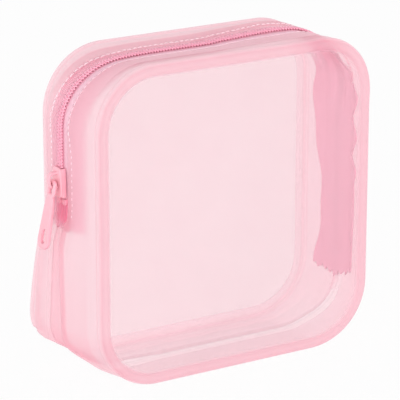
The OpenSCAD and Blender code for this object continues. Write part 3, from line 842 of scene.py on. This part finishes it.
slider = {
    "wallX": -65.5,  # outer face of the left wall
    "at": 81.5,  # height of the slider's middle
    "long": 6.0,  # half its length
    "nose": 4.0,  # half its width below
    "tail": 3.4,  # and above
    # the two faces of each part, counted off the wall, and how far its edges are rounded
    "outerPlate": (0.02, 1.2, 0.42),
    "innerPlate": (-4.3, -3.2, 0.4),
    "flange": (-1.25, 0.4, 0.3),
    "post": (-3.4, 0.4, 0.2),
    "flangeHalf": 0.55,  # half a flange's thickness
    "flangeAt": 3.1,  # its place from the middle
    "flangeIn": 0.3,  # and how far it leans in towards the tail
    "postHalf": (0.42, 1.5),  # half the post's thickness and length
    "postAt": -4.0,
    "bridgeHalf": (1.1, 0.58),  # half the bridge's width and thickness
    "bridgeOut": 1.9,  # how far it arches past the pull's axis
    "bridgeLong": 2.8,  # half its length
    "bridgeUp": 0.9,  # its middle above that axis
    "bridgeFoot": 0.35,  # how much wider its feet are
    "pivotOut": 2.62,  # the pull's axis, off the wall
    "pivotUp": 0.2,  # and above the slider's middle
    "lean": 11.0,  # degrees that the pull leans out
}


def atSlider(n, y, z):  # local (outwards, sideways, up) to the shared frame
    n, y, z = np.broadcast_arrays(n, y, z)
    return np.stack([slider["wallX"] - n, pouch["seamAt"] + y, slider["at"] + z], -1)


def superEllipse(halfY, halfZ, power, count):  # |y/a|^p + |z/b|^p = 1
    turn = np.linspace(0, 2 * np.pi, count, endpoint=False)
    c, s = np.cos(turn), np.sin(turn)
    return halfY * np.sign(c) * np.abs(c) ** (2 / power), halfZ * np.sign(s) * np.abs(s) ** (2 / power)


def roundedSection(low, high, edge):  # (inset, height) from the middle of the underside to the top's
    turn = np.radians(np.linspace(0, 90, 5))
    under = [(edge - edge * np.sin(a), low + edge - edge * np.cos(a)) for a in turn]
    over = [(edge - edge * np.cos(a), high - edge + edge * np.sin(a)) for a in turn]
    return [(9, low), (2 * edge, low)] + under + over + [(2 * edge, high), (9, high)]


# A rounded slab: one outline repeated from face to face, drawn in by its section's insets.
def slabRows(y, z, faces):
    middleY, middleZ = (y.max() + y.min()) / 2, (z.max() + z.min()) / 2
    reachY, reachZ = (y.max() - y.min()) / 2, (z.max() - z.min()) / 2
    rows = []
    for inset, n in roundedSection(*faces):
        inset = min(inset, 0.93 * min(reachY, reachZ))
        kY, kZ = 1 - inset / reachY, 1 - inset / reachZ
        rows.append(atSlider(n, middleY + kY * (y - middleY), middleZ + kZ * (z - middleZ)))
    return np.array(rows)


# The slider: two rounded plates that narrow evenly from nose to tail, flanges along the outer one and
# a post between them. The bridge is a rounded strap carried over a half oval between two short legs.
def makeSlider():
    y, z = superEllipse(1.0, slider["long"], 4.2, 72)
    nose, tail = slider["nose"], slider["tail"]
    y = y * ((nose + tail) / 2 - (nose - tail) / 2 * z / slider["long"])
    forms = [slabRows(y, z, slider["outerPlate"]), slabRows(y * 0.97, z * 0.98, slider["innerPlate"])]
    ly, lz = superEllipse(slider["flangeHalf"], slider["long"] * 0.97, 5, 40)
    for side in (-1, 1):
        centre = side * (slider["flangeAt"] - slider["flangeIn"] * lz / slider["long"])
        forms.append(slabRows(centre + ly, lz, slider["flange"]))
    wy, wz = superEllipse(*slider["postHalf"], 3, 28)
    forms.append(slabRows(wy, wz + slider["postAt"], slider["post"]))
    turn = np.radians(np.linspace(180, 0, 19))
    c, q = np.cos(turn), np.sin(turn)
    arcN = slider["pivotOut"] + slider["bridgeOut"] * np.abs(q) ** 0.8
    arcZ = slider["pivotUp"] + slider["bridgeUp"] + slider["bridgeLong"] * np.sign(c) * np.abs(c) ** 0.8
    legs = np.linspace(0.7, slider["pivotOut"] - 0.3, 4)
    pathN = np.concatenate([legs, arcN, legs[::-1]])
    pathZ = np.concatenate([np.full(4, arcZ[0]), arcZ, np.full(4, arcZ[-1])])
    dn, dz = np.gradient(pathN), np.gradient(pathZ)
    length = np.hypot(dn, dz)
    sy, sq = superEllipse(*slider["bridgeHalf"], 3.4, 24)
    flare = 1 + slider["bridgeFoot"] * np.clip((1.5 - pathN) / 0.8, 0, 1)
    forms.append(atSlider(pathN[:, None] + (dz / length)[:, None] * sq, sy[None] * flare[:, None],
                          pathZ[:, None] - (dn / length)[:, None] * sq))
    obj = makePiece("sliderBody", [skin(rows) for rows in forms], pinkPaint)
    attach(obj, "slider")
    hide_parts("slider_body")


pull = {
    "long": 27.0,  # from its axis to its tip
    "neckHalf": 1.3,  # half width where the tab starts
    "neckAt": 4.9,
    "rootHalf": 2.6,  # half width at its shoulders
    "rootAt": 6.2,
    "tipHalf": 4.0,  # radius of its tip
    "holeAt": 21.8,
    "holeHalfWide": 1.7,
    "holeHalfLong": 2.8,
    # half of the section: share of the way from outline to hole, and half the thickness there
    "section": [(0.0, 0.3), (0.02, 0.58), (0.07, 0.76), (0.15, 0.8), (0.26, 0.74), (0.4, 0.66), (0.7, 0.66),
                (0.82, 0.72), (0.9, 0.76), (0.96, 0.68), (1.0, 0.45)],
    "eye": 0.86,  # radius of the eye's bar
    "eyeHalf": (2.05, 2.7),  # half width and half length along its middle
    "eyeAt": 2.5,
}


def onPull(y, down, q):  # down the pull from its axis, sideways, and through its thickness
    lean = np.radians(slider["lean"])
    n = slider["pivotOut"] + down * np.sin(lean) + q * np.cos(lean)
    z = slider["pivotUp"] - down * np.cos(lean) + q * np.sin(lean)
    return atSlider(n, y, z)


# The tab is a ring between its outline and the finger hole, both a radius by angle round the hole,
# with a soft rim at both edges. The eye is a tube round a rounded oblong.
def makePull():
    turn = np.linspace(0, 2 * np.pi, 96, endpoint=False)
    tip = np.radians(np.linspace(-80, 80, 60))
    endAt = pull["long"] - pull["tipHalf"]
    root, neck = (pull["rootHalf"], pull["rootAt"]), (pull["neckHalf"], pull["neckAt"])
    outY = np.concatenate([pull["tipHalf"] * np.sin(tip), [root[0], neck[0], -neck[0], -root[0]]])
    outD = np.concatenate([endAt + pull["tipHalf"] * np.cos(tip), [root[1], neck[1], neck[1], root[1]]])
    sides = np.linspace(0, 1, 30, endpoint=False)
    nextY, nextD = np.roll(outY, -1), np.roll(outD, -1)
    outY = (outY[:, None] + (nextY - outY)[:, None] * sides).ravel()
    outD = (outD[:, None] + (nextD - outD)[:, None] * sides).ravel()
    angle = np.arctan2(outY, outD - pull["holeAt"]) % (2 * np.pi)
    order = np.argsort(angle)
    radius = np.hypot(outY, outD - pull["holeAt"])
    outer = np.interp(turn, angle[order], radius[order], period=2 * np.pi)
    straight = pull["holeHalfLong"] - pull["holeHalfWide"]
    across, along = np.abs(np.sin(turn)), np.abs(np.cos(turn))
    side = pull["holeHalfWide"] / np.maximum(across, 1e-6)
    reach = along * straight + np.sqrt(np.maximum(pull["holeHalfWide"] ** 2 - (straight * across) ** 2, 0))
    hole = np.where(side * along < straight, side, reach)
    over = pull["section"]
    under = [(share, -q) for share, q in over[::-1]]
    rows = []
    for share, q in under[-1:] + over + under[:-1]:
        r = outer * (1 - share) + hole * share
        rows.append(onPull(r * np.sin(turn), pull["holeAt"] + r * np.cos(turn), q))
    skins = [skin(np.array(rows), loop=True)]
    ey, ed = superEllipse(*pull["eyeHalf"], 3.6, 48)
    path = onPull(ey, pull["eyeAt"] + ed, 0.0)
    guide = np.broadcast_to(onPull(0.0, 0.0, 1.0) - onPull(0.0, 0.0, 0.0), path.shape)
    skins.append(skin(tubeRows(path, pull["eye"], guide, sides=12, loop=True), loop=True))
    obj = makePiece("pullTab", skins, pinkPaint)
    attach(obj, "pull")
    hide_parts("pull_tab")


zipStop = {
    "half": (1.37, 1.25),  # half width and half height of a top stop
    "aside": 1.98,  # its place from the middle of the chain
    "at": 73.55,  # and its height
    "deep": (-3.7, -0.7, 0.35),  # its two faces, counted off the wall, and its rounded edges
    "boxHalf": (3.05, 1.5),  # the same for the box at the right end
    "boxAt": 35.0,
    "boxDeep": (-2.9, -0.6, 0.4),
}


# The stops are rounded blocks: one on each tape below the slider, and a box at the right end.
def makeStops():
    for name, side, cadNode, body in (("frontTopStop", -1, "front_top_stop", "front_half"),
                                      ("backTopStop", 1, "back_top_stop", "back_half")):
        y, z = superEllipse(*zipStop["half"], 5, 40)
        rows = slabRows(side * zipStop["aside"] + y, z + zipStop["at"] - slider["at"], zipStop["deep"])
        obj = makePiece(name, [skin(rows)], mouldedStop)
        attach(obj, body)
        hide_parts(cadNode)
    y, z = superEllipse(*zipStop["boxHalf"], 5, 48)
    rows = slabRows(y, z + zipStop["boxAt"] - slider["at"], zipStop["boxDeep"])
    rows[..., 0] *= -1  # the same place on the right wall
    obj = makePiece("boxStop", [skin(settle(rows))], mouldedStop)
    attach(obj, "front_half")
    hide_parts("bottom_stop")


makeSlider()
makePull()
makeStops()
print("zip made")


# Studio

studio = {
    "around": 1.72,  # light from the horizon
    "above": 0.28,  # and from overhead
    # each lamp's name, watts, width and place, with all lengths here in metres
    "lamps": [("keyLight", 4.2, 0.9, (-0.7, -1.0, 0.55)), ("fillLight", 1.5, 1.0, (0.9, -1.0, 0.45))],
    "lampsAim": (0, 0, 0.06),
    "floor": 0.88,  # tone of the floor
    "floorAt": -0.0002,  # just under the foot
    "floorReach": 2.0,
    "lift": 0.94,  # how far the floor is lifted to white where it is seen
    "azimuth": -31.66,  # of the camera, in degrees
    "elevation": 17.51,
    "distance": 0.9668,
    "target": (-0.00325, 0.0, 0.06459),
    "lens": 36 * 2411.2 / 400,
}


def whiteForCamera(add, wire):  # plain white for rays from the eye, mirrors and glass
    path = add("ShaderNodeLightPath")
    either = add("ShaderNodeMath", operation="MAXIMUM")
    every = add("ShaderNodeMath", operation="MAXIMUM")
    wire((path, "Is Camera Ray", either, 0), (path, "Is Glossy Ray", either, 1))
    wire((either, 0, every, 0), (path, "Is Transmission Ray", every, 1))
    return every


def makeStudio():
    world = bpy.data.worlds.new("studioWorld")
    scene.world = world
    world.use_nodes = True
    add, wire = nodesOf(world.node_tree)
    out = add("ShaderNodeOutputWorld")
    seen = add("ShaderNodeBackground", Color=(1, 1, 1, 1), Strength=1.0)
    light = add("ShaderNodeBackground", Color=(1, 1, 1, 1))
    coords = add("ShaderNodeTexCoord")
    parts = add("ShaderNodeSeparateXYZ")
    level = add("ShaderNodeMapRange", To_Min=studio["around"], To_Max=studio["above"])
    wire((coords, "Generated", parts, 0), (parts, "Z", level, "Value"), (level, 0, light, "Strength"))
    mix = add("ShaderNodeMixShader")
    wire((whiteForCamera(add, wire), 0, mix, 0), (light, 0, mix, 1))
    wire((seen, 0, mix, 2), (mix, 0, out, "Surface"))

    floorMaterial, add, wire, out = newMaterial("studioFloor")
    paint = add("ShaderNodeBsdfDiffuse", Color=(studio["floor"],) * 3 + (1,))
    plain = add("ShaderNodeEmission", Color=(1, 1, 1, 1), Strength=1.0)
    soft = add("ShaderNodeMixShader", Fac=studio["lift"])
    mix = add("ShaderNodeMixShader")
    wire((paint, 0, soft, 1), (plain, 0, soft, 2))
    wire((whiteForCamera(add, wire), 0, mix, 0), (paint, 0, mix, 1))
    wire((soft, 0, mix, 2), (mix, 0, out, "Surface"))
    reach = np.array([-1, 1]) * studio["floorReach"]
    gx, gy = np.meshgrid(reach, reach, indexing="ij")
    corners = np.stack([gx, gy, np.full_like(gx, studio["floorAt"])], -1).reshape(-1, 3)
    mesh = bpy.data.meshes.new("studioFloor")
    mesh.from_pydata(corners.tolist(), [], [[0, 2, 3, 1]])
    mesh.materials.append(floorMaterial)
    floor = addObject("studioFloor", mesh)

    for name, power, size, at in studio["lamps"]:
        data = bpy.data.lights.new(name, "AREA")
        data.energy = power
        data.size = size
        lamp = addObject(name, data)
        lamp.location = at
        aim = Vector(studio["lampsAim"]) - Vector(at)
        lamp.rotation_euler = aim.to_track_quat("-Z", "Y").to_euler()

    a, e = np.radians(studio["azimuth"]), np.radians(studio["elevation"])
    back = Vector((np.sin(a) * np.cos(e), -np.cos(a) * np.cos(e), np.sin(e)))
    data = bpy.data.cameras.new("photoCamera")
    data.sensor_width = 36.0
    data.lens = studio["lens"]
    camera = addObject("photoCamera", data)
    camera.location = Vector(studio["target"]) + back * studio["distance"]
    camera.rotation_euler = (-back).to_track_quat("-Z", "Y").to_euler()
    scene.camera = camera
    print("studio made")


makeStudio()
